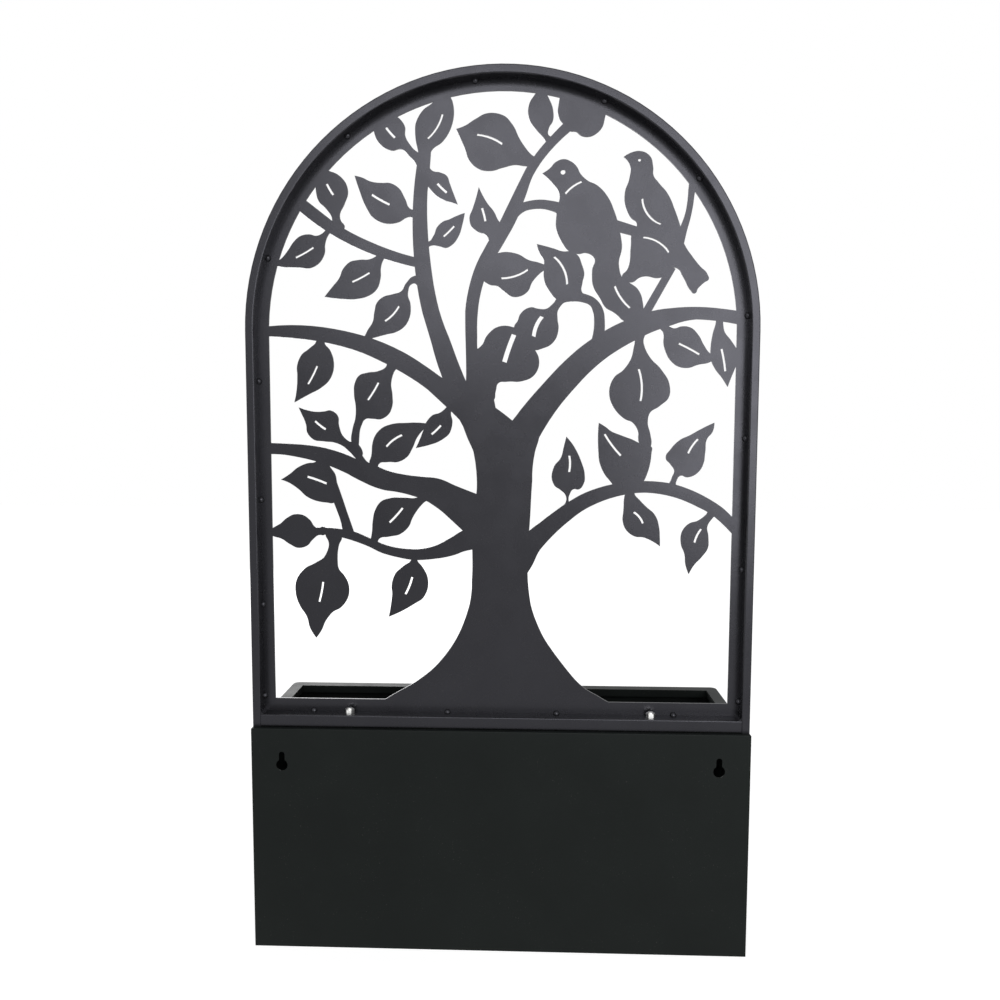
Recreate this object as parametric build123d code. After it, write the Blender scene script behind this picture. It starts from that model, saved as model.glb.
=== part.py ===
from build123d import *
import math
import os

# Wall planter of painted sheet steel: a planter box, and on its rear edge an arched frame of
# rectangular tube that holds a laser-cut panel with a tree and two birds.
# Millimetres. +Z is up and the wall is on the +Y side. The origin is on the ground, under the middle.

# Planter box
BOX_WIDTH = 600.0
BOX_DEPTH = 190.0
BOX_HEIGHT = 275.0
BOX_SHEET = 1.2
CORNER_RADIUS = 8.0
EDGE_ROUND = 1.0
RIM_WIDTH = 16.0
RIM_DROP = 10.0
SHELF_DEPTH = 34.0
BASE_UPSTAND = 14.0
REAR_LAP = 14.0
LAP_CLEARANCE = 2.0
DRAIN_RADIUS = 5.0
DRAIN_COUNT = 5
DRAIN_PITCH = 110.0

# Keyholes in the rear panel, to hang the planter on two screws
KEYHOLE_ENTRY_RADIUS = 7.0
KEYHOLE_SLOT_WIDTH = 7.0
KEYHOLE_REACH = 16.5
KEYHOLE_INSET = 37.0
KEYHOLE_DROP = 45.0

# Arched frame of rectangular tube
UPRIGHT_HEIGHT = 475.0
TUBE_FACE = 10.0
TUBE_DEPTH = 20.0
TUBE_WALL = 1.2
TUBE_ROUND = 1.5
RAIL_FACE = 15.0
FRAME_SETBACK = 7.0
CORNER_WELD_LEG = 4.0

# Laser-cut panel
PANEL_SHEET = 2.0
PANEL_RIM = 13.0
PANEL_SILL = 15.0
TACK_RADIUS = 4.0

# Fasteners that hold the frame on the box
BOLT_SPREAD = 183.0
BOLT_RADIUS = 3.0
BOLT_HOLE_RADIUS = 3.3
BOLT_HEAD_HEIGHT = 4.0
BOLT_TIP = 1.5
HEX_ACROSS_FLATS = 10.0
NUT_HEIGHT = 5.0
WASHER_RADIUS = 6.0
WASHER_THICKNESS = 1.6

# Places that follow from the sizes above
HALF_WIDTH = BOX_WIDTH / 2
REAR_Y = BOX_DEPTH / 2
FRONT_Y = -BOX_DEPTH / 2
INNER_HALF = HALF_WIDTH - BOX_SHEET
RIM_INNER_X = HALF_WIDTH - RIM_WIDTH
SHELF_Y = REAR_Y - SHELF_DEPTH
FRAME_REAR_Y = REAR_Y - FRAME_SETBACK
FRAME_FRONT_Y = FRAME_REAR_Y - TUBE_DEPTH
FRAME_MID_Y = FRAME_REAR_Y - TUBE_DEPTH / 2
PANEL_REAR_Y = FRAME_FRONT_Y + PANEL_SHEET
OPENING_HALF = HALF_WIDTH - TUBE_FACE
WINDOW_HALF = OPENING_HALF - PANEL_RIM
WINDOW_SILL = RAIL_FACE + PANEL_SILL

# The tree is drawn as it is seen from the wall side, in millimetres right of the middle and above
# the box, on a window of this size. art() fits the drawing to the window that the frame leaves.
DRAWN_HALF = 277.0
DRAWN_SILL = 30.0
DRAWN_SPRING = 475.0
SLIT_WIDTH = 2.4

# Outlines are made of arcs: how flat one may be before it is a line, and the kink let stand between two
FLAT_RISE = 0.004
SMALL_KINK = math.radians(6)

# Trunk: height, and how far its bark lies left and right of the middle there.
TRUNK = [(24, -150, 143), (36, -131, 122.3), (49, -108, 101), (58, -95, 91.5), (69, -81.7, 82.3),
         (81, -70.6, 73), (96, -59.4, 62), (112, -50.2, 51.9), (127, -43.8, 45.1), (150, -36.6, 37.5),
         (178, -34, 34), (216, -33.5, 33.5), (260, -31, 36.5), (300, -28, 38.5), (334, -32, 41.5),
         (352, -39.8, 46.5), (366, -45, 48)]

# Limbs: points along the middle, each with the limb's width there.
LEFT_LIMB = [(6, 346, 50), (-36, 385, 36), (-62, 403, 26), (-80, 416.5, 21.5), (-100, 430.5, 21.5),
             (-120, 442.5, 22), (-160, 460.6, 20), (-200, 471.2, 18), (-240, 476.5, 16), (-284, 477, 11)]
TALL_LIMB = [(-28, 372, 36), (-47, 400, 27), (-55.3, 420, 24.7), (-63, 440, 24), (-71.5, 466, 22),
             (-82.8, 500, 20), (-89, 530, 19.5), (-92.8, 560, 19), (-95.2, 600, 17.6), (-94.2, 640, 16),
             (-90.7, 670, 15.3), (-88, 694, 13)]
CENTRE_LIMB = [(-22, 365, 38), (-24.5, 395, 34), (-29, 428, 24), (-34, 452, 14.5), (-34.8, 474, 14),
               (-34.5, 500, 15), (-31, 523, 15), (-24.5, 545, 15.5), (-13, 568, 16), (1.5, 592, 16),
               (12, 612, 16.5), (22, 635, 14), (33, 660, 11), (45, 678, 10.5), (60, 695, 10.5), (78, 712, 12)]
RIGHT_LIMB = [(12, 336, 44), (29, 359.5, 38.4), (38.3, 373.6, 36), (60, 402, 32), (80, 424.5, 31),
              (100, 444, 29.5), (120, 459.4, 28), (140, 471.5, 27), (160, 481, 25), (177, 488, 23.5),
              (200, 493.7, 19.8), (230, 497.8, 14.4), (260, 495.4, 14.6), (286, 491, 15.5)]
UPPER_LEFT_BRANCH = [(-88, 555, 11), (-120, 562.5, 11.5), (-160, 577, 12.8), (-200, 598, 13.5),
                     (-232, 622, 14.5), (-244, 631, 15)]
PERCH = [(13, 606, 8), (23, 618.5, 9.5), (40, 623.4, 10), (55, 622.6, 10.5), (72, 617, 14)]
LOWER_LEFT_BRANCH = [(-14, 248, 56), (-42, 266, 44), (-60, 277, 36), (-80, 287.7, 31), (-100, 292.5, 25),
                     (-120, 296.3, 22.5), (-140, 300.3, 24), (-160, 308.5, 24.5), (-180, 317, 21),
                     (-200, 325.2, 20), (-220, 331, 18.2), (-240, 334.6, 16), (-260, 336.8, 13.6),
                     (-284, 337.5, 14)]
LOW_LEFT_BRANCH = [(-12, 234, 36), (-45.6, 226, 24), (-60, 218.8, 20.5), (-80, 212.3, 15.2),
                   (-100, 209.7, 13.4), (-120, 211.5, 11.8), (-140, 216, 10.8), (-160, 224.8, 10),
                   (-180, 232.5, 11), (-200, 236.5, 9.5), (-226, 237.5, 8.5)]
LOW_RIGHT_BRANCH = [(14, 187, 30), (25, 203.2, 30), (38.3, 225, 26), (53.7, 240, 22.5), (80, 262, 19.3),
                    (100, 275.3, 17.8), (120, 284, 16.6), (147, 291, 14.8), (175, 293.4, 14),
                    (200, 290.8, 15), (220, 285, 15), (240, 276, 15), (260, 264, 14.4), (276, 249, 13.5),
                    (286, 238, 13.5)]
TWIGS = [
    [(113, 462, 14), (116.5, 486, 12.7), (114.5, 501, 12), (108, 511, 10), (98, 515.4, 10), (84, 517, 11)],
    [(166, 490, 10), (200.5, 551, 9)],
    [(223.5, 660, 9), (221.1, 637, 7.8), (219.8, 623, 7.2), (217.5, 610, 7.3), (213.5, 597, 8.5), (207, 580, 14)],
    [(-206, 300, 14), (-198, 280, 12), (-191.6, 262, 11), (-187, 248, 11.3), (-183.5, 232, 15)],
    [(126, 601, 13), (146, 595.2, 12), (164, 590, 11)],
]

# Leaves: points round each outline, starting at the tip.
LEAVES = [
    [(-66, 754), (-79, 740), (-92.5, 729.5), (-99.5, 717), (-100.3, 703), (-98, 689), (-93, 676), (-86, 676),
     (-80.5, 686.5), (-68, 696), (-58.5, 711), (-55, 726), (-56.3, 739.5)],
    [(-134, 728), (-120, 723), (-112.5, 713.5), (-112, 702.5), (-104, 689), (-94, 679), (-94, 668),
     (-104, 676), (-116.5, 687), (-129.5, 686), (-141, 692.5), (-147.5, 703), (-149, 713)],
    [(-50.5, 623.5), (-55.5, 636), (-59.8, 647.5), (-63.5, 656.5), (-71, 660.3), (-79.5, 662), (-88, 670),
     (-91, 652), (-86, 645), (-77, 635), (-66, 628.5), (-57.5, 626)],
    [(-172, 657.5), (-164, 655.5), (-152.5, 650.5), (-141, 649), (-129.5, 648.5), (-119.5, 642.5),
     (-113, 631.5), (-107, 619.5), (-98, 616), (-98, 610), (-110, 609.5), (-120.5, 604), (-131, 602),
     (-142, 604), (-151, 609.5), (-158, 620), (-165.5, 638)],
    [(-42.5, 614), (-50.5, 611.3), (-60, 607), (-68.5, 604), (-75, 598), (-79, 588.5), (-85, 581.5),
     (-92, 583), (-91, 574), (-80.5, 577), (-73, 575.8), (-65, 574), (-57, 578), (-49.5, 588), (-45, 602)],
    [(-214, 668), (-203, 663.5), (-192, 659), (-183.5, 651), (-180, 639.5), (-184.5, 625), (-189.8, 614),
     (-187, 595), (-198, 596), (-200, 611), (-206.5, 620), (-214.5, 628), (-218.2, 643)],
    [(-274, 556), (-261, 562), (-252.5, 571.5), (-245.5, 581.5), (-238, 588), (-228.5, 590.3), (-216, 589),
     (-209, 593), (-204, 601), (-197, 597), (-203.5, 590.5), (-207.8, 580), (-208.8, 568), (-214.5, 558),
     (-226, 551.3), (-240, 552), (-256, 552.3)],
    [(-209.5, 517.5), (-200.5, 528.5), (-191.5, 539.5), (-187, 550), (-179, 558), (-168, 560.5),
     (-154, 561.5), (-148.5, 564), (-143, 570), (-135, 566), (-139, 560.5), (-141.8, 552), (-142.3, 540),
     (-147, 526.5), (-156.5, 519), (-169, 515.3), (-185, 515)],
    [(-165, 464), (-158.5, 478), (-152, 488.5), (-150, 500), (-147, 510.5), (-139, 517.5), (-128, 520.5),
     (-118.5, 523.5), (-111.5, 534), (-104, 541), (-94, 541), (-94, 530), (-105, 532.5), (-110, 521),
     (-107, 509), (-107, 498), (-112, 485.5), (-123, 477), (-139.5, 472.5), (-153, 469)],
    [(-52.5, 709.5), (-43.5, 712.5), (-30, 720.5), (-18, 726.5), (-7, 727), (4, 723.5), (13, 714),
     (22.5, 696), (31.5, 683.5), (38, 678), (46, 677), (42, 667), (29, 667), (16, 668.5), (2, 665.5), (-11, 662),
     (-24, 663), (-36, 672), (-43, 689)],
    [(-26, 643.5), (-29, 632), (-33, 619.5), (-37, 608), (-35.5, 600), (-28.5, 593), (-17.5, 588.5),
     (-11, 580), (-1, 588), (2, 598), (-3.5, 606), (-8, 615), (-16, 625), (-22, 635)],
    [(58, 551), (45, 556.5), (33, 559.5), (20, 566.5), (7, 569), (-6, 567.5), (-20, 566), (-24, 540),
     (-14, 531.5), (-4, 529.5), (4, 523.5), (13, 517.5), (22, 517.5), (31, 522.5), (38, 535.5), (47, 545)],
    [(42, 578), (51, 575.8), (61, 573), (72, 569.5), (84, 569), (90.5, 564.5), (95, 554.5), (98, 544),
     (96, 533), (95, 524), (99, 517), (88, 513), (76, 511.3), (66, 514), (58.5, 522), (53, 530.5),
     (50.5, 540), (50.5, 549), (50.3, 560), (45.5, 567.5)],
    [(-30, 455), (-22.5, 460.5), (-16.5, 471.5), (-8, 480), (3, 483.5), (13, 482.3), (24, 478), (36, 462),
     (41, 455), (45.5, 445), (45, 434), (38.5, 424), (25, 418.3), (8, 417.8), (-2.5, 416), (-5.5, 407),
     (-8, 396), (-20, 393), (-28, 405), (-30, 430)],
    [(30, 465), (16.5, 484), (20, 489), (22.5, 496), (28, 502), (36, 505), (44, 503.3), (53, 503),
     (62, 509.5), (68, 517), (80, 514), (72.5, 508.5), (67.5, 501), (67.2, 491), (68.5, 481), (66, 469.5),
     (59, 461), (50, 457), (41, 455)],
    [(172, 330), (164.2, 349), (163.5, 360), (158, 369), (147, 374.5), (137, 384), (130, 397), (129.3, 411),
     (134.5, 423), (145.5, 432), (153.5, 443.5), (157.5, 460), (160, 472), (168, 478), (168.8, 462),
     (176, 447), (190, 432), (199.5, 416), (199, 399), (189, 389.5), (177, 380.5), (175, 370), (178.3, 356), (179.8, 345)],
    [(117, 369.5), (124, 365.5), (132, 359.5), (143, 355), (156, 350.3), (164, 346.3), (172, 343), (180, 341), (180, 333),
     (178, 318), (172.5, 302), (165, 292), (140, 288), (133, 298), (124, 309.5), (118.5, 322.5),
     (116.8, 338), (116.3, 355)],
    [(254, 446), (244.5, 453), (239, 461), (232.5, 472.5), (223.5, 481), (213, 482.5), (203.5, 480.3),
     (197, 483), (190, 487), (187, 483), (191.2, 475), (192, 461), (197, 447.5), (207, 437), (220, 434),
     (234, 438), (246, 440.5)],
    [(268, 412), (262, 421.5), (253, 433), (247.5, 444), (247, 458), (249, 473), (252.5, 487), (253, 497),
     (261, 497), (261, 486), (263, 476), (270, 467), (277, 457), (281, 447), (277, 436), (272.5, 424.5)],
    [(78.8, 353), (75.8, 341), (72.5, 328), (64.5, 317.5), (61.5, 305), (65, 294.5), (72.5, 289),
     (77.5, 284.5), (75, 264), (81, 266), (83, 283), (87, 289.7), (95, 290.3), (100.5, 298), (101, 309),
     (97, 323), (88, 341.5)],
    [(192, 222), (183, 228), (173.5, 232.3), (161, 234), (152, 240.5), (147.3, 251), (147.8, 267),
     (149, 283), (152, 291), (160, 291), (161, 284.5), (167, 277.5), (175, 269.5), (185, 260.5), (190, 248),
     (191.6, 234)],
    [(227, 188.5), (223, 199.5), (221.5, 212.5), (217, 225), (218, 240.5), (226, 249.5), (237, 253.5),
     (246, 260.5), (250, 267), (259, 262), (254, 256.5), (248, 246.5), (249.5, 234), (249, 220),
     (242, 209.5), (233, 199.5)],
    [(253.5, 370), (240, 363.5), (226, 355.5), (213.5, 349.5), (203, 339), (197, 328), (203, 320),
     (207, 314), (204, 303), (201, 292), (209, 290), (210, 300), (214, 306.5), (223.5, 305), (234.5, 310),
     (241.5, 321), (243.5, 335), (245, 350), (252, 360)],
    [(-247.5, 393), (-244.5, 408), (-243.5, 424), (-243.5, 437), (-238, 449.5), (-228.5, 457),
     (-220.5, 464.5), (-219, 473), (-210, 472), (-210.3, 464), (-204, 455.5), (-200, 445), (-200, 431),
     (-205.5, 419), (-216.5, 409.5), (-230, 402.5)],
    [(-172, 318), (-176.5, 334), (-179.5, 347), (-177.5, 362), (-174, 375), (-173.5, 388), (-175.3, 402),
     (-174.5, 415.5), (-169, 425), (-158.5, 428.5), (-147, 430), (-137.5, 434.5), (-133, 443), (-122, 438),
     (-127.5, 428.5), (-130.7, 416), (-129.3, 402), (-129.3, 390), (-134, 379), (-143.5, 373),
     (-153, 373.5), (-162, 373), (-167.5, 364), (-169.8, 350), (-169.5, 336), (-163.5, 325.5), (-155, 315)],
    [(-242.5, 387), (-235, 384.5), (-224, 382), (-212.5, 382.2), (-203, 383.3), (-195.5, 377), (-194, 365),
     (-189.5, 353), (-181.5, 346.5), (-174, 345), (-172, 326), (-181, 333.5), (-189, 340.5), (-199, 344.8),
     (-212, 346.3), (-225, 348.5), (-232.3, 356.5), (-234, 367), (-238.5, 378)],
    [(-86, 368), (-99, 369.2), (-113, 368.8), (-127, 368), (-139, 364.5), (-148.5, 356.5), (-153.5, 345),
     (-155, 331), (-157, 318), (-149, 312), (-146, 319.5), (-135, 321.7), (-122.5, 322), (-112, 328),
     (-105.5, 338.5), (-100, 351), (-92.5, 360.5)],
    [(-101.5, 338.5), (-96, 350.5), (-92, 361), (-88.5, 370), (-82, 377.5), (-71.5, 381.5), (-65, 387),
     (-61, 395), (-56, 390), (-59, 381.5), (-57.3, 369.5), (-60.5, 357), (-70, 348.7), (-84, 342.8),
     (-95, 340)],
    [(-265.5, 300), (-254.5, 307), (-244.5, 315), (-234, 319.7), (-222.5, 322), (-216, 328), (-209.5, 322),
     (-205, 315), (-199.5, 307), (-197.5, 297), (-197, 284), (-201, 272.5), (-211, 272.5), (-223, 274.5),
     (-234, 279.5), (-244, 288.5), (-254, 295.5)],
    [(-158, 224), (-155.3, 237), (-154.3, 250), (-151.5, 263), (-143.5, 274.5), (-132, 278.5), (-116, 279),
     (-101, 279), (-92, 283), (-84, 279), (-92, 273), (-99.5, 264.5), (-105.5, 255), (-111, 243),
     (-121, 234.5), (-134, 231.5), (-146, 229), (-151, 222)],
    [(-135.5, 133), (-133, 146), (-131.2, 160), (-131.7, 173), (-127.5, 186), (-117, 196), (-108, 203),
     (-107, 210), (-101, 210), (-100.5, 203), (-94, 194.5), (-88, 182.5), (-87.5, 169.5), (-93, 157),
     (-104.5, 149), (-120, 140)],
    [(-285, 236), (-276, 241.5), (-268, 246), (-259, 253.5), (-250, 258), (-240, 257.5), (-231.5, 251.5),
     (-224.5, 242.5), (-212, 241), (-212, 234.5), (-222, 232), (-228, 227), (-235, 219.5), (-246, 217),
     (-256, 221.5), (-266, 228), (-276, 231)],
    [(-225, 106), (-219, 114.5), (-213, 127.5), (-205, 137.5), (-193.5, 144.5), (-185.5, 156), (-184, 169),
     (-189, 182), (-196.5, 192), (-197.8, 204), (-196.5, 218), (-193, 233), (-209, 238), (-208.5, 218),
     (-214, 206), (-224.5, 199), (-237.5, 192), (-247, 181), (-250, 166), (-245, 146.5), (-236.5, 132.5),
     (-232, 117)],
    [(46, 757), (38.5, 747), (33, 738.5), (31, 728.5), (33, 718.5), (40, 708.5), (50, 697.5), (55, 690),
     (60, 697), (54.5, 703), (55.5, 710), (60, 718), (60, 730), (54.5, 744)],
    [(70, 755), (66.5, 737), (65.5, 727), (68, 718.5), (74, 712), (80, 706), (86, 705.3), (92, 701),
     (101, 699.4), (110, 702.8), (117, 710), (120, 720.5), (122, 733)],
]

# Slits in the leaves and on the birds: from, to, and how far the middle bows to the left.
SLITS = [
    ((-85, 700), (-69, 725), -2.5), ((-134, 711), (-125, 701), -0.3), ((-74, 647), (-64.5, 638), -0.3),
    ((-151, 635), (-132, 624.5), -0.5), ((-66.5, 588), (-56, 598), -0.3), ((-204.5, 647.5), (-198, 636.5), -0.3),
    ((-242, 564), (-223, 574.5), -0.5), ((-175, 535.5), (-156.5, 545), -0.5), ((-136.5, 490), (-121.5, 505.5), -1.5),
    ((-27, 702.5), (0, 692.5), 2.0), ((-22, 618.5), (-18.5, 605.5), 0.3), ((2, 539), (30.5, 548), -2.5),
    ((63, 562), (77.5, 532.5), 4.0), ((163.5, 431.5), (166, 396.5), 2.5), ((125, 355), (143, 331.5), -1.0),
    ((211, 462), (233, 450.5), 0.4), ((260, 455), (264.5, 431.5), 0.5), ((82.5, 329), (82.5, 312), 1.0),
    ((161, 262), (170.5, 250.5), 1.5), ((233.5, 228), (240, 242), 1.0), ((224, 334.5), (234, 349.5), 1.0),
    ((-230, 416), (-220, 435), -0.5), ((-158, 397), (-146.5, 415.5), -0.5), ((-222, 370), (-211, 361.5), -0.4),
    ((-136, 341), (-119, 353.5), 1.5), ((-81.5, 356), (-72, 365), -0.3), ((-232, 303.5), (-211, 296), 0.4),
    ((-133, 249.5), (-118.5, 265.5), -0.5), ((-114.5, 162), (-107, 181), -0.8), ((-220.5, 152), (-216, 174), -0.5),
    ((76, 636), (92.5, 648), 1.5), ((134.5, 528), (151, 505), -2.0), ((165, 628), (185.5, 601), -5.5),
    ((167.5, 584.5), (195, 568.5), 4.0),
]
WIDE_SLITS = [((5.5, 443.5), (15, 470.5), 0.6, 5.5), ((40, 473), (48, 492), 2.0, 4.5)]

# Birds: points round each outline, starting at the beak.
BIRDS = [
    [(48, 658.4), (56, 663.5), (64, 671.5), (72, 674.4), (80, 672.4), (87.5, 666.5), (93, 657), (100, 650.5),
     (112, 644.5), (124, 632), (131, 618), (138, 596), (141.6, 577), (138.6, 551), (142, 540), (150.5, 533.5),
     (160.5, 526), (166.5, 512), (167, 498), (158, 486), (146, 488.5), (135, 497.5), (122, 506), (117, 514.5),
     (108.5, 529), (107, 546), (109, 562), (101, 567.3), (90, 566.5), (80, 569.5), (71, 580.5), (65, 594),
     (65, 614), (67.5, 637), (59, 648.5)],
    [(142, 676.4), (150, 681), (158, 683), (166, 681.8), (173, 676.5), (176.3, 665), (177, 655),
     (183, 647), (193, 635.5), (201, 619), (207.5, 602), (214, 577), (222, 565), (232, 552.5),
     (241.5, 542.5), (243.2, 537), (238, 533), (231.5, 527), (226.8, 520.5), (221.5, 525),
     (214, 538), (205, 550), (188, 539), (166, 540), (151, 533.5), (142.5, 538.5), (149, 550),
     (151.8, 575), (153, 590), (158.5, 599), (149.5, 610), (144.5, 622), (144, 636),
     (149, 652), (150, 665)],
]
EYES = [((72, 659.6), 2.7), ((160.4, 672.6), 1.6)]

# Tack welds between the panel and the tube: degrees round the arch, and heights above the box on the
# uprights and places along the rail as shares of their length.
ARCH_TACKS = [3.9, 37.5, 65.7, 96.0, 128.3, 162.4]
LEFT_TACKS = [0.07, 0.31, 0.58, 0.88]
RIGHT_TACKS = [0.07, 0.41, 0.74]
RAIL_TACKS = [-0.79, -0.22, 0.24, 0.73]


def art(u, v):
    """Fits a drawn point to the window: the straight part stretches, the arch scales with its radius."""
    scale = WINDOW_HALF / DRAWN_HALF
    if v > DRAWN_SPRING:
        return (u * scale, UPRIGHT_HEIGHT + (v - DRAWN_SPRING) * scale)
    rise = (UPRIGHT_HEIGHT - WINDOW_SILL) / (DRAWN_SPRING - DRAWN_SILL)
    return (u * scale, WINDOW_SILL + (v - DRAWN_SILL) * rise)


def moved(point, direction, distance):
    """The point a distance away along a direction."""
    return (point[0] + direction[0] * distance, point[1] + direction[1] * distance)


def unit(start, end):
    """Unit direction from one drawn point to another, and the direction to its left."""
    length = math.dist(start, end)
    along = ((end[0] - start[0]) / length, (end[1] - start[1]) / length)
    return along, (-along[1], along[0])


def circle_heading(before, here, after):
    """Direction at the middle of three points of the circle through them."""
    first, second = math.dist(before, here) ** 2, math.dist(here, after) ** 2
    along = [(here[i] - before[i]) / first + (after[i] - here[i]) / second for i in range(2)]
    return unit((0, 0), along)[0]


def mirrored(heading, start, end):
    """The heading at one end of an arc between two points, from the heading at its other end."""
    chord = unit(start, end)[0]
    share = 2 * (heading[0] * chord[0] + heading[1] * chord[1])
    return (share * chord[0] - heading[0], share * chord[1] - heading[1])


def turn_between(first, second):
    """Signed angle from one direction to another."""
    across = first[0] * second[1] - first[1] * second[0]
    return math.atan2(across, first[0] * second[0] + first[1] * second[1])


def arc_leaving(start, end, heading):
    """The arc between two points that leaves the first along a heading, or a line if it is flat."""
    along, side = unit(start, end)
    rise = math.dist(start, end) / 2 * math.tan(turn_between(heading, along) / 2)
    if abs(rise) < FLAT_RISE:
        return Line(start, end)
    middle = ((start[0] + end[0]) / 2, (start[1] + end[1]) / 2)
    return ThreePointArc(start, moved(middle, side, -rise), end)


def smooth(points):
    """Arcs through drawn points that run smoothly into one another, one or two to a step."""
    if len(points) == 2:
        return [straight(*points)]
    path = [art(*point) for point in points]
    headings = [circle_heading(*path[i - 1:i + 2]) for i in range(1, len(path) - 1)]
    headings = [mirrored(headings[0], *path[:2])] + headings + [mirrored(headings[-1], *path[-2:])]
    arcs = []
    for start, end, leaving, arriving in zip(path, path[1:], headings, headings[1:]):
        if abs(turn_between(mirrored(leaving, start, end), arriving)) < SMALL_KINK:
            arcs.append(arc_leaving(start, end, leaving))
            continue
        step = (end[0] - start[0], end[1] - start[1])
        both = (leaving[0] + arriving[0], leaving[1] + arriving[1])
        reach = step[0] * both[0] + step[1] * both[1]
        square = step[0] ** 2 + step[1] ** 2
        parting = 2 - 2 * (leaving[0] * arriving[0] + leaving[1] * arriving[1])
        pull = square / (reach + math.sqrt(reach ** 2 + parting * square))
        joint = tuple((start[i] + end[i]) / 2 + pull * (leaving[i] - arriving[i]) / 2 for i in range(2))
        arcs.append(arc_leaving(start, joint, leaving))
        arcs.append(arc_leaving(joint, end, mirrored(leaving, start, joint)))
    return arcs


def straight(start, end):
    return Line(art(*start), art(*end))


def between(left, right):
    """The face between two smooth sides."""
    ends = [straight(left[-1], right[-1]), straight(right[0], left[0])]
    return make_face([*smooth(left), ends[0], *smooth(right[::-1]), ends[1]])


def trunk():
    """The trunk, between its two sides."""
    left = [(left, height) for height, left, _ in TRUNK]
    right = [(right, height) for height, _, right in TRUNK]
    return between(left, right)


def limb(stations):
    """A limb with the widths given along its middle."""
    left, right = [], []
    for index, (u, v, width) in enumerate(stations):
        before = stations[max(index - 1, 0)][:2]
        after = stations[min(index + 1, len(stations) - 1)][:2]
        _, side = unit(before, after)
        left.append(moved((u, v), side, width / 2))
        right.append(moved((u, v), side, -width / 2))
    return between(left, right)


def slit(start, end, bow, width=SLIT_WIDTH):
    """A thin curved slot, cut square at its ends."""
    along, side = unit(start, end)
    middle = ((start[0] + end[0]) / 2, (start[1] + end[1]) / 2)
    half = width / 2
    arcs = []
    for offset in (half, -half):
        first, last = moved(start, along, -half), moved(end, along, half)
        line = [moved(first, side, offset), moved(middle, side, bow + offset), moved(last, side, offset)]
        arcs.append([art(*point) for point in line])
    return make_face([ThreePointArc(*arcs[0]), Line(arcs[0][2], arcs[1][2]),
                      ThreePointArc(*arcs[1]), Line(arcs[1][0], arcs[0][0])])


def outline(points):
    """A leaf or a bird, smooth all round but for the point it starts at."""
    return make_face(smooth(points + points[:1]))


def arch_face(half, foot):
    """An arched face: straight sides from the foot up to the springing line, and a half circle above."""
    block = Pos(0, (foot + UPRIGHT_HEIGHT) / 2) * Rectangle(2 * half, UPRIGHT_HEIGHT - foot)
    return block + Pos(0, UPRIGHT_HEIGHT) * Circle(half)


def from_wall(y):
    """The upright plane at y, drawn on as it is seen from the wall side, level with the box's top."""
    return Plane(origin=(0, y, BOX_HEIGHT), x_dir=(-1, 0, 0), z_dir=(0, 1, 0))


def box_between(low, high):
    """A block between two corners."""
    size = [high[i] - low[i] for i in range(3)]
    centre = [(high[i] + low[i]) / 2 for i in range(3)]
    return Pos(*centre) * Box(*size)


def tree_panel():
    """The laser-cut panel: a rim that fits in the tube frame, and the tree and birds inside it."""
    opening = arch_face(OPENING_HALF, RAIL_FACE)
    rim = opening - arch_face(WINDOW_HALF, WINDOW_SILL)
    limbs = [LEFT_LIMB, TALL_LIMB, CENTRE_LIMB, RIGHT_LIMB, UPPER_LEFT_BRANCH, PERCH,
             LOWER_LEFT_BRANCH, LOW_LEFT_BRANCH, LOW_RIGHT_BRANCH] + TWIGS
    shapes = [trunk()]
    shapes += [limb(stations) for stations in limbs]
    shapes += [outline(points) for points in LEAVES + BIRDS]
    tree = (rim + shapes) & opening
    cuts = [slit(*ends) for ends in SLITS + WIDE_SLITS]
    cuts += [Pos(*art(*centre)) * Circle(radius) for centre, radius in EYES]
    return extrude(from_wall(FRAME_FRONT_Y) * (tree - cuts), PANEL_SHEET)


def tube_section(face):
    """The hollow section of the rectangular tube, with its corners rounded outside."""
    outer = RectangleRounded(face, TUBE_DEPTH, TUBE_ROUND)
    return outer - Rectangle(face - 2 * TUBE_WALL, TUBE_DEPTH - 2 * TUBE_WALL)


def arched_tube():
    """One length of tube, bent to a half circle between two uprights."""
    middle = HALF_WIDTH - TUBE_FACE / 2
    spring = BOX_HEIGHT + UPRIGHT_HEIGHT
    foot = Vector(-middle, FRAME_MID_Y, BOX_HEIGHT)
    path = Wire([
        Line(foot, (-middle, FRAME_MID_Y, spring)),
        ThreePointArc((-middle, FRAME_MID_Y, spring), (0, FRAME_MID_Y, spring + middle), (middle, FRAME_MID_Y, spring)),
        Line((middle, FRAME_MID_Y, spring), (middle, FRAME_MID_Y, BOX_HEIGHT)),
    ])
    section = Plane(origin=foot, x_dir=(1, 0, 0), z_dir=(0, 0, 1)) * tube_section(TUBE_FACE)
    return sweep(section, path=path)


def bottom_rail():
    """The rail between the uprights, drilled for the two bolts."""
    end = Plane(origin=(-OPENING_HALF, FRAME_MID_Y, BOX_HEIGHT + RAIL_FACE / 2), x_dir=(0, 0, 1), z_dir=(1, 0, 0))
    rail = extrude(end * tube_section(RAIL_FACE), 2 * OPENING_HALF)
    for x in (-BOLT_SPREAD, BOLT_SPREAD):
        rail -= Pos(x, FRAME_MID_Y, BOX_HEIGHT + RAIL_FACE / 2) * Cylinder(BOLT_HOLE_RADIUS, 2 * RAIL_FACE)
    return rail


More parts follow.
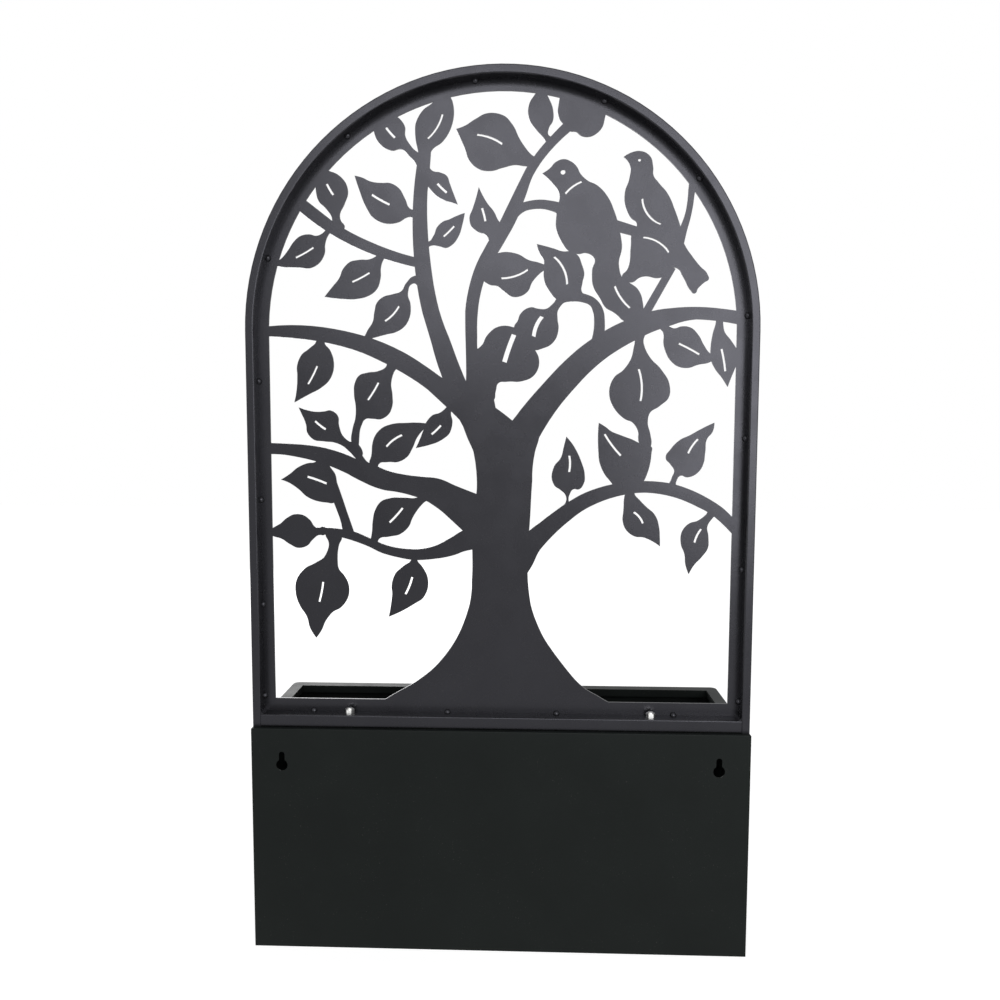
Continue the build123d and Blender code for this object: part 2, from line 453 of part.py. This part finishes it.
def tack_points():
    """The corners between the panel's rear face and the tube where the tack welds sit."""
    points = [(OPENING_HALF * math.cos(math.radians(a)), UPRIGHT_HEIGHT + OPENING_HALF * math.sin(math.radians(a)))
              for a in ARCH_TACKS]
    points += [(-OPENING_HALF, share * UPRIGHT_HEIGHT) for share in LEFT_TACKS]
    points += [(OPENING_HALF, share * UPRIGHT_HEIGHT) for share in RIGHT_TACKS]
    points += [(share * OPENING_HALF, RAIL_FACE) for share in RAIL_TACKS]
    return points


def panel_tack_welds():
    """Small round beads in the corner between the panel and the inside of the tube."""
    room = extrude(from_wall(PANEL_REAR_Y) * arch_face(OPENING_HALF, RAIL_FACE), 2 * TACK_RADIUS)
    return [from_wall(PANEL_REAR_Y) * Pos(u, v, 0) * Sphere(TACK_RADIUS) & room for u, v in tack_points()]


def rail_corner_welds():
    """Fillet welds where the rail meets the uprights, behind the panel."""
    length = TUBE_DEPTH - PANEL_SHEET - TUBE_ROUND
    beads = []
    for side in (-1, 1):
        corner = Pos(side * (OPENING_HALF - CORNER_WELD_LEG / 2), RAIL_FACE + CORNER_WELD_LEG / 2)
        hollow = Pos(side * (OPENING_HALF - CORNER_WELD_LEG), RAIL_FACE + CORNER_WELD_LEG)
        bead = corner * Rectangle(CORNER_WELD_LEG, CORNER_WELD_LEG) - hollow * Circle(CORNER_WELD_LEG)
        beads.append(extrude(from_wall(PANEL_REAR_Y) * bead, length))
    return beads


def box_plan(inset, front_radius):
    """The box's plan inside its walls by the given inset, with rounded front corners."""
    half = HALF_WIDTH - inset
    front = FRONT_Y + inset
    plan = Pos(0, (front + REAR_Y) / 2) * Rectangle(2 * half, REAR_Y - front)
    if front_radius <= 0:
        return plan
    return fillet(plan.vertices().group_by(Axis.Y)[0], front_radius)


def planter_wrap():
    """Front and sides folded from one sheet, with a rim folded inwards and down again."""
    walls = extrude(box_plan(0, CORNER_RADIUS) - box_plan(BOX_SHEET, CORNER_RADIUS - BOX_SHEET), BOX_HEIGHT)
    rear_sheet = REAR_Y - BOX_SHEET
    band = box_plan(0, CORNER_RADIUS) - box_plan(RIM_WIDTH, 0)
    lip = box_plan(RIM_WIDTH - BOX_SHEET, 0) - box_plan(RIM_WIDTH, 0)
    rim = Pos(0, 0, BOX_HEIGHT - BOX_SHEET) * extrude(band, BOX_SHEET)
    rim += Pos(0, 0, BOX_HEIGHT - RIM_DROP) * extrude(lip, RIM_DROP)
    rim -= box_between((-BOX_WIDTH, rear_sheet, 0), (BOX_WIDTH, REAR_Y + BOX_SHEET, BOX_HEIGHT + BOX_SHEET))
    wrap = walls + rim
    top_edges = [edge for edge in wrap.edges().group_by(Axis.Z)[-1] if on_outline(edge)]
    return fillet(top_edges, EDGE_ROUND)


def on_outline(edge):
    """Whether a top edge of the wrap runs along the outside of its front or sides."""
    middle = edge.position_at(0.5)
    at_side = abs(abs(middle.X) - HALF_WIDTH) < CORNER_RADIUS * 0.4
    at_front = abs(middle.Y - FRONT_Y) < CORNER_RADIUS * 0.4
    return edge.length > BOX_SHEET * 1.5 and (at_side or at_front)


def keyhole():
    """A round entry with a narrower slot above it."""
    slot = Pos(0, KEYHOLE_REACH / 2 - KEYHOLE_SLOT_WIDTH / 4)
    bar = slot * Rectangle(KEYHOLE_SLOT_WIDTH, KEYHOLE_REACH - KEYHOLE_SLOT_WIDTH / 2)
    end = Pos(0, KEYHOLE_REACH - KEYHOLE_SLOT_WIDTH / 2) * Circle(KEYHOLE_SLOT_WIDTH / 2)
    return Circle(KEYHOLE_ENTRY_RADIUS) + bar + end


def rear_panel():
    """The rear sheet with its keyholes, side laps, and the shelf that carries the frame."""
    inner = REAR_Y - BOX_SHEET
    panel = box_between((-INNER_HALF, inner, 0), (INNER_HALF, REAR_Y, BOX_HEIGHT))
    panel = fillet(panel.edges().filter_by(Axis.X).group_by(Axis.Z)[-1].sort_by(Axis.Y)[-1], EDGE_ROUND)
    panel += box_between((-RIM_INNER_X, SHELF_Y, BOX_HEIGHT - BOX_SHEET), (RIM_INNER_X, inner, BOX_HEIGHT))
    panel += box_between((-RIM_INNER_X, SHELF_Y, BOX_HEIGHT - RIM_DROP), (RIM_INNER_X, SHELF_Y + BOX_SHEET, BOX_HEIGHT))
    lap_low = BASE_UPSTAND + LAP_CLEARANCE
    lap_high = BOX_HEIGHT - RIM_DROP - LAP_CLEARANCE
    for side in (-1, 1):
        outer, inside = sorted((side * INNER_HALF, side * (INNER_HALF - BOX_SHEET)))
        panel += box_between((outer, inner - REAR_LAP, lap_low), (inside, inner, lap_high))
        hole = Pos(side * (HALF_WIDTH - KEYHOLE_INSET), -KEYHOLE_DROP) * keyhole()
        panel -= extrude(from_wall(inner) * hole, 2 * BOX_SHEET)
        panel -= Pos(side * BOLT_SPREAD, FRAME_MID_Y, BOX_HEIGHT) * Cylinder(BOLT_HOLE_RADIUS, 4 * BOX_SHEET)
    return panel


def base_pan():
    """The base, with its edges folded up inside the walls, and drain holes."""
    rear = REAR_Y - BOX_SHEET
    outer = box_plan(BOX_SHEET, CORNER_RADIUS - BOX_SHEET)
    inner = box_plan(2 * BOX_SHEET, CORNER_RADIUS - 2 * BOX_SHEET)
    behind = box_between((-BOX_WIDTH, rear, -1), (BOX_WIDTH, REAR_Y + 1, BASE_UPSTAND + 1))
    pan = extrude(outer, BASE_UPSTAND) - Pos(0, 0, BOX_SHEET) * extrude(inner, BASE_UPSTAND)
    pan -= behind
    for index in range(DRAIN_COUNT):
        x = (index - (DRAIN_COUNT - 1) / 2) * DRAIN_PITCH
        pan -= Pos(x, 0, 0) * Cylinder(DRAIN_RADIUS, 4 * BOX_SHEET)
    return pan


def hexagon(height):
    return extrude(RegularPolygon(HEX_ACROSS_FLATS / 2, 6, major_radius=False), height)


def bolt_places():
    return [Pos(x, FRAME_MID_Y, 0) for x in (-BOLT_SPREAD, BOLT_SPREAD)]


def frame_bolts():
    """Hexagon bolts that come up through the shelf and the rail."""
    seat = BOX_HEIGHT - BOX_SHEET - WASHER_THICKNESS
    top = BOX_HEIGHT + RAIL_FACE + NUT_HEIGHT + BOLT_TIP
    shank = Pos(0, 0, seat) * extrude(Circle(BOLT_RADIUS), top - seat)
    head = Pos(0, 0, seat - BOLT_HEAD_HEIGHT) * hexagon(BOLT_HEAD_HEIGHT)
    return [place * (shank + head) for place in bolt_places()]


def frame_nuts():
    """Hexagon nuts on top of the rail, with their corners chamfered."""
    cone = extrude(Circle(HEX_ACROSS_FLATS / 2 / math.cos(math.pi / 6)), NUT_HEIGHT)
    cone = chamfer(cone.edges(), NUT_HEIGHT * 0.1)
    nut = (hexagon(NUT_HEIGHT) & cone) - Cylinder(BOLT_RADIUS, 4 * NUT_HEIGHT)
    return [place * Pos(0, 0, BOX_HEIGHT + RAIL_FACE) * nut for place in bolt_places()]


def frame_washers():
    """Plain washers between the bolt heads and the underside of the shelf."""
    ring = extrude(Circle(WASHER_RADIUS) - Circle(BOLT_HOLE_RADIUS), WASHER_THICKNESS)
    return [place * Pos(0, 0, BOX_HEIGHT - BOX_SHEET - WASHER_THICKNESS) * ring for place in bolt_places()]


def save(name, shape):
    """Writes one node, made of one solid or of a group of separate solids."""
    solids = [solid for item in (shape if isinstance(shape, list) else [shape]) for solid in item.solids()]
    whole = solids[0] if len(solids) == 1 else Compound(solids)
    export_step(whole, os.path.join("parts", name + ".step"))


def main():
    os.makedirs("parts", exist_ok=True)
    save("planter_wrap", planter_wrap())
    save("rear_panel", rear_panel())
    save("base_pan", base_pan())
    save("arched_tube", arched_tube())
    save("bottom_rail", bottom_rail())
    save("rail_corner_welds", rail_corner_welds())
    save("tree_panel", tree_panel())
    save("panel_tack_welds", panel_tack_welds())
    save("frame_bolts", frame_bolts())
    save("frame_nuts", frame_nuts())
    save("frame_washers", frame_washers())


if __name__ == "__main__":
    main()
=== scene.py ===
"""Looks for the wall planter: painted sheet and tube, zinc-plated fasteners, studio and camera."""

import math

import bpy
from mathutils import Matrix, Vector

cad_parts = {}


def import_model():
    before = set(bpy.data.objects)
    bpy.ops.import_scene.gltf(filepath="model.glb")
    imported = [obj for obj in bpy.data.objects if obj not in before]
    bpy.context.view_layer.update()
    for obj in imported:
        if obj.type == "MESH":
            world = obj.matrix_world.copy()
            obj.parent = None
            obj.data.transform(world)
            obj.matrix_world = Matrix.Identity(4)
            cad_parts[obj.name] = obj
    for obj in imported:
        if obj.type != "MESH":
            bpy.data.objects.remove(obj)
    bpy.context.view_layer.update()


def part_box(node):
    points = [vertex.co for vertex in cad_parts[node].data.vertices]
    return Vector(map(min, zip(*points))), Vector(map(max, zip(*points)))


# Camera, fitted to the photograph: metres and radians in the part's frame
CAMERA_RIGHT_OF_MIDDLE = 0.0327
CAMERA_BEHIND_FRAME = 0.9761
CAMERA_HEIGHT = 0.6297
CAMERA_YAW = -0.033
CAMERA_PITCH = -0.0782
CAMERA_ROLL = 0.003
CAMERA_FOCAL_PIXELS = 830.1
PICTURE_PIXELS = 1000.0
SENSOR_MM = 36.0

# Paint: the trough's and the frame's colour, roughness, specular level and tint of reflections
BOX_BLACK = (0.0040, 0.0050, 0.0047)
BOX_ROUGHNESS = 0.50
BOX_SPECULAR = 0.14
BOX_TINT = (0.92, 1.0, 0.98)
FRAME_BLACK = (0.0055, 0.0055, 0.0062)
FRAME_ROUGHNESS = 0.27
FRAME_SPECULAR = 0.42
FRAME_TINT = (0.88, 0.88, 1.0)
PAINT_IOR = 1.5

# Unevenness of the paint: sizes and depths in metres, and the noise values that each effect spans
CLOUD_SIZE = 0.09
CLOUD_SPAN = (0.35, 0.65)
CLOUD_LIFT = 1.35
SHEEN_SIZE = 0.03
SHEEN_SPAN = (0.3, 0.7)
SHEEN_SWING = 0.035
PEEL_SIZE = 0.0016
PEEL_DEPTH = 0.00012
PEEL_STRENGTH = 0.35
GRAIN_SIZE = 0.00035
GRAIN_DEPTH = 0.00004
GRAIN_STRENGTH = 0.30

# Dust, in specks that lie in patches
DUST_GREY = (0.20, 0.19, 0.18)
DUST_COVER = 0.4
SPECK_SIZE = 0.0011
SPECK_SPAN = (0.755, 0.79)
PATCH_SIZE = 0.045
PATCH_SPAN = (0.45, 0.62)

# Zinc plating
ZINC_GREY = (0.88, 0.88, 0.86)
ZINC_DARKENING = 0.80
ZINC_ROUGHNESS = (0.26, 0.42)
SPANGLE_SIZE = 0.0018
SPANGLE_COLOUR_SPAN = (0.35, 0.7)
SPANGLE_GLOSS_SPAN = (0.3, 0.7)
MARK_SIZE = 0.0009
MARK_STRETCH = (1.0, 1.0, 9.0)
MARK_DEPTH = 0.00003
MARK_STRENGTH = 0.4

# Lamps: place, width and height in metres, and power in watts
LAMPS = {
    "window_ahead": ((0.20, 2.88, 1.68), 1.3, 1.3, 23.0),
    "window_right": ((-1.15, 2.80, 1.12), 1.3, 2.0, 42.0),
    "window_front": ((0.95, -2.65, 1.15), 1.3, 2.0, 30.0),
}
OBJECT_MIDDLE = (0.0, 0.07, 0.65)
ROOM_LIGHT = 0.28

# Floor: half its width, its grey for the object's light and for the camera, and its glow by distance, lower
# near the object as painted shade
WHITE = (1.0, 1.0, 1.0)
FLOOR_HALF = 6.0
FLOOR_GREY = 0.80
FLOOR_SHADE = 0.50
FLOOR_GLOW_NEAR = 0.80
FLOOR_GLOW_FAR = 0.90
FLOOR_GLOW_SPAN = (0.4, 2.4)


def node(tree, kind, **settings):
    """Adds a shader node and sets its properties and inputs."""
    made = tree.nodes.new(kind)
    for key, value in settings.items():
        if hasattr(made, key):
            setattr(made, key, value)
        else:
            made.inputs[key.replace("_", " ")].default_value = value
    return made


def new_material(name):
    """An empty node material with its output."""
    material = bpy.data.materials.new(name)
    material.use_nodes = True
    material.node_tree.nodes.clear()
    output = material.node_tree.nodes.new("ShaderNodeOutputMaterial")
    return material, material.node_tree, output


def noise(tree, coordinates, size, detail=2.0):
    """Noise whose features are about the given size in metres."""
    made = node(tree, "ShaderNodeTexNoise", Scale=1.0 / size, Detail=detail)
    tree.links.new(coordinates, made.inputs["Vector"])
    return made.outputs["Fac"]


def remap(tree, value, span, to_low, to_high):
    """Stretches a value from a span to another range, clamped."""
    made = tree.nodes.new("ShaderNodeMapRange")
    made.inputs["From Min"].default_value = span[0]
    made.inputs["From Max"].default_value = span[1]
    made.inputs["To Min"].default_value = to_low
    made.inputs["To Max"].default_value = to_high
    tree.links.new(value, made.inputs["Value"])
    return made.outputs["Result"]


def blend_colours(tree, factor, first, second):
    """Mixes two colours, either of which may be a socket. Inputs 6 and 7 and output 2 are the colour ones."""
    made = tree.nodes.new("ShaderNodeMix")
    made.data_type = "RGBA"
    tree.links.new(factor, made.inputs[0])
    for socket, colour in ((made.inputs[6], first), (made.inputs[7], second)):
        if isinstance(colour, tuple):
            socket.default_value = (*colour, 1.0)
        else:
            tree.links.new(colour, socket)
    return made.outputs[2]


def bump(tree, coordinates, size, strength, depth, detail=1.0):
    """A bump node fed by noise."""
    made = node(tree, "ShaderNodeBump", Strength=strength, Distance=depth)
    tree.links.new(noise(tree, coordinates, size, detail=detail), made.inputs["Height"])
    return made


def dust_cover(tree, place):
    """How much dust covers each place: specks, and only within patches."""
    specks = remap(tree, noise(tree, place, SPECK_SIZE, detail=1.0), SPECK_SPAN, 0.0, DUST_COVER)
    patches = remap(tree, noise(tree, place, PATCH_SIZE), PATCH_SPAN, 0.0, 1.0)
    both = node(tree, "ShaderNodeMath", operation="MULTIPLY")
    tree.links.new(specks, both.inputs[0])
    tree.links.new(patches, both.inputs[1])
    return both.outputs[0]


def powder_coat(name, colour, roughness, specular, tint):
    """Satin powder coat: orange peel, fine grain, cloudy sheen, and a few specks of dust."""
    material, tree, output = new_material(name)
    place = tree.nodes.new("ShaderNodeTexCoord").outputs["Object"]
    shader = tree.nodes.new("ShaderNodeBsdfPrincipled")
    tree.links.new(shader.outputs["BSDF"], output.inputs["Surface"])

    cloud = remap(tree, noise(tree, place, CLOUD_SIZE, detail=3.0), CLOUD_SPAN, 0.0, 1.0)
    lighter = tuple(CLOUD_LIFT * part for part in colour)
    painted = blend_colours(tree, cloud, colour, lighter)
    dusty = blend_colours(tree, dust_cover(tree, place), painted, DUST_GREY)
    tree.links.new(dusty, shader.inputs["Base Color"])

    uneven = noise(tree, place, SHEEN_SIZE, detail=4.0)
    sheen = remap(tree, uneven, SHEEN_SPAN, roughness - SHEEN_SWING, roughness + SHEEN_SWING)
    tree.links.new(sheen, shader.inputs["Roughness"])
    shader.inputs["IOR"].default_value = PAINT_IOR
    shader.inputs["Specular IOR Level"].default_value = specular
    shader.inputs["Specular Tint"].default_value = (*tint, 1.0)

    peel = bump(tree, place, PEEL_SIZE, PEEL_STRENGTH, PEEL_DEPTH)
    grain = bump(tree, place, GRAIN_SIZE, GRAIN_STRENGTH, GRAIN_DEPTH)
    tree.links.new(peel.outputs["Normal"], grain.inputs["Normal"])
    tree.links.new(grain.outputs["Normal"], shader.inputs["Normal"])
    return material


def zinc_plate(name):
    """Dull zinc plating on turned and pressed steel."""
    material, tree, output = new_material(name)
    place = tree.nodes.new("ShaderNodeTexCoord").outputs["Object"]
    shader = tree.nodes.new("ShaderNodeBsdfPrincipled")
    tree.links.new(shader.outputs["BSDF"], output.inputs["Surface"])
    shader.inputs["Metallic"].default_value = 1.0

    spangle = noise(tree, place, SPANGLE_SIZE, detail=3.0)
    darker = tuple(ZINC_DARKENING * part for part in ZINC_GREY)
    plated = blend_colours(tree, remap(tree, spangle, SPANGLE_COLOUR_SPAN, 0.0, 1.0), ZINC_GREY, darker)
    tree.links.new(plated, shader.inputs["Base Color"])
    tree.links.new(remap(tree, spangle, SPANGLE_GLOSS_SPAN, *ZINC_ROUGHNESS), shader.inputs["Roughness"])

    stretched = node(tree, "ShaderNodeMapping", Scale=MARK_STRETCH)
    tree.links.new(place, stretched.inputs["Vector"])
    marks = bump(tree, stretched.outputs["Vector"], MARK_SIZE, MARK_STRENGTH, MARK_DEPTH, detail=3.0)
    tree.links.new(marks.outputs["Normal"], shader.inputs["Normal"])
    return material


def dress(name, material):
    """Gives a node its finish."""
    piece = bpy.data.objects[name]
    if not piece.material_slots:
        piece.data.materials.append(material)
    for slot in piece.material_slots:
        slot.material = material


def dress_frame():
    """Finishes every node of the model."""
    frame_look = (FRAME_BLACK, FRAME_ROUGHNESS, FRAME_SPECULAR, FRAME_TINT)
    box_paint = powder_coat("satin_black_box", BOX_BLACK, BOX_ROUGHNESS, BOX_SPECULAR, BOX_TINT)
    frame_paint = powder_coat("satin_black_frame", *frame_look)
    panel_paint = powder_coat("satin_black_panel", *frame_look)
    zinc = zinc_plate("zinc")
    for name in ("planter_wrap", "rear_panel", "base_pan"):
        dress(name, box_paint)
    for name in ("arched_tube", "bottom_rail", "rail_corner_welds", "panel_tack_welds"):
        dress(name, frame_paint)
    dress("tree_panel", panel_paint)
    for name in ("frame_bolts", "frame_nuts", "frame_washers"):
        dress(name, zinc)


def softbox(name, place, width, height, power):
    """A white rectangular light that faces the object's middle."""
    light = bpy.data.lights.new(name, "AREA")
    light.shape = "RECTANGLE"
    light.size = width
    light.size_y = height
    light.energy = power
    light.color = WHITE
    lamp = bpy.data.objects.new(name, light)
    bpy.context.scene.collection.objects.link(lamp)
    lamp.location = place
    towards = Vector(OBJECT_MIDDLE) - Vector(place)
    lamp.rotation_euler = towards.to_track_quat("-Z", "Y").to_euler()


def studio_lights():
    """Soft windows: two behind the camera, the taller on the photograph's right, and one at the front."""
    for name, lamp in LAMPS.items():
        softbox(name, *lamp)


def sees_background(tree, kinds):
    """1 for rays of the given kinds, 0 for all others."""
    path = tree.nodes.new("ShaderNodeLightPath")
    total = path.outputs[kinds[0]]
    for kind in kinds[1:]:
        either = node(tree, "ShaderNodeMath", operation="MAXIMUM")
        tree.links.new(total, either.inputs[0])
        tree.links.new(path.outputs[kind], either.inputs[1])
        total = either.outputs[0]
    return total


def choose(tree, factor, otherwise, chosen):
    """Mixes two shaders by a factor and gives the result."""
    mixer = tree.nodes.new("ShaderNodeMixShader")
    tree.links.new(factor, mixer.inputs[0])
    tree.links.new(otherwise, mixer.inputs[1])
    tree.links.new(chosen, mixer.inputs[2])
    return mixer.outputs[0]


def studio_world():
    """White where it is seen or reflected, and a soft grey light for everything else."""
    world = bpy.data.worlds.new("studio")
    bpy.context.scene.world = world
    world.use_nodes = True
    tree = world.node_tree
    tree.nodes.clear()
    output = tree.nodes.new("ShaderNodeOutputWorld")
    light = node(tree, "ShaderNodeBackground", Color=(*WHITE, 1.0), Strength=ROOM_LIGHT)
    seen = node(tree, "ShaderNodeBackground", Color=(*WHITE, 1.0), Strength=1.0)
    rays = sees_background(tree, ("Is Camera Ray", "Is Glossy Ray", "Is Transmission Ray"))
    tree.links.new(choose(tree, rays, light.outputs[0], seen.outputs[0]), output.inputs[0])


def plain_grey(tree, level):
    """A matte grey shader."""
    return node(tree, "ShaderNodeBsdfDiffuse", Color=(level, level, level, 1.0)).outputs[0]


def floor_seen_with_painted_shade(tree):
    """The floor as the camera sees it: shadowed grey, and a glow that grows with distance, so that the floor
    is darker near the object by painted shade.
    """
    shaded = plain_grey(tree, FLOOR_SHADE)
    glow = node(tree, "ShaderNodeEmission", Color=(*WHITE, 1.0))
    away = node(tree, "ShaderNodeVectorMath", operation="LENGTH")
    tree.links.new(tree.nodes.new("ShaderNodeTexCoord").outputs["Object"], away.inputs[0])
    # painted shade: the glow is weaker near the object, so the floor round it is darker even where no shadow
    # falls
    strength = remap(tree, away.outputs["Value"], FLOOR_GLOW_SPAN, FLOOR_GLOW_NEAR, FLOOR_GLOW_FAR)
    tree.links.new(strength, glow.inputs["Strength"])
    added = tree.nodes.new("ShaderNodeAddShader")
    tree.links.new(shaded, added.inputs[0])
    tree.links.new(glow.outputs[0], added.inputs[1])
    return added.outputs[0]


def floor():
    """A white floor that keeps a soft shadow, and is darker near the object by painted shade."""
    corners = [(x * FLOOR_HALF, y * FLOOR_HALF, 0.0) for x, y in ((-1, -1), (1, -1), (1, 1), (-1, 1))]
    mesh = bpy.data.meshes.new("floor")
    mesh.from_pydata(corners, [], [(0, 1, 2, 3)])
    piece = bpy.data.objects.new("floor", mesh)
    bpy.context.scene.collection.objects.link(piece)
    material, tree, output = new_material("floor_white")
    white = node(tree, "ShaderNodeEmission", Color=(*WHITE, 1.0), Strength=1.0)
    mirrored = sees_background(tree, ("Is Glossy Ray", "Is Transmission Ray"))
    other = choose(tree, mirrored, plain_grey(tree, FLOOR_GREY), white.outputs[0])
    camera = sees_background(tree, ("Is Camera Ray",))
    tree.links.new(choose(tree, camera, other, floor_seen_with_painted_shade(tree)), output.inputs["Surface"])
    mesh.materials.append(material)


def photo_camera():
    """The camera of the photograph, which looks at the planter's rear."""
    frame_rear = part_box("arched_tube")[1][1]
    turn = Matrix.Rotation(math.radians(180), 3, "Z")
    level_share = math.cos(CAMERA_PITCH)
    sideways = math.sin(CAMERA_YAW)
    forwards = math.cos(CAMERA_YAW)
    look = Vector((sideways * level_share, forwards * level_share, math.sin(CAMERA_PITCH)))
    level = Vector((forwards, -sideways, 0.0))
    upward = level.cross(look)
    right = math.cos(CAMERA_ROLL) * level + math.sin(CAMERA_ROLL) * upward
    top = math.cos(CAMERA_ROLL) * upward - math.sin(CAMERA_ROLL) * level
    axes = Matrix((turn @ right, turn @ top, turn @ -look)).transposed()
    data = bpy.data.cameras.new("photo_camera")
    data.sensor_width = SENSOR_MM
    data.sensor_fit = "HORIZONTAL"
    data.lens = CAMERA_FOCAL_PIXELS / PICTURE_PIXELS * SENSOR_MM
    camera = bpy.data.objects.new("photo_camera", data)
    place = Vector((-CAMERA_RIGHT_OF_MIDDLE, frame_rear + CAMERA_BEHIND_FRAME, CAMERA_HEIGHT))
    camera.matrix_world = Matrix.Translation(place) @ axes.to_4x4()
    bpy.context.scene.collection.objects.link(camera)
    bpy.context.scene.camera = camera


def main():
    """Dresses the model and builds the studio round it."""
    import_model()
    dress_frame()
    floor()
    studio_lights()
    studio_world()
    photo_camera()
    bpy.context.scene.view_settings.view_transform = "Standard"


main()
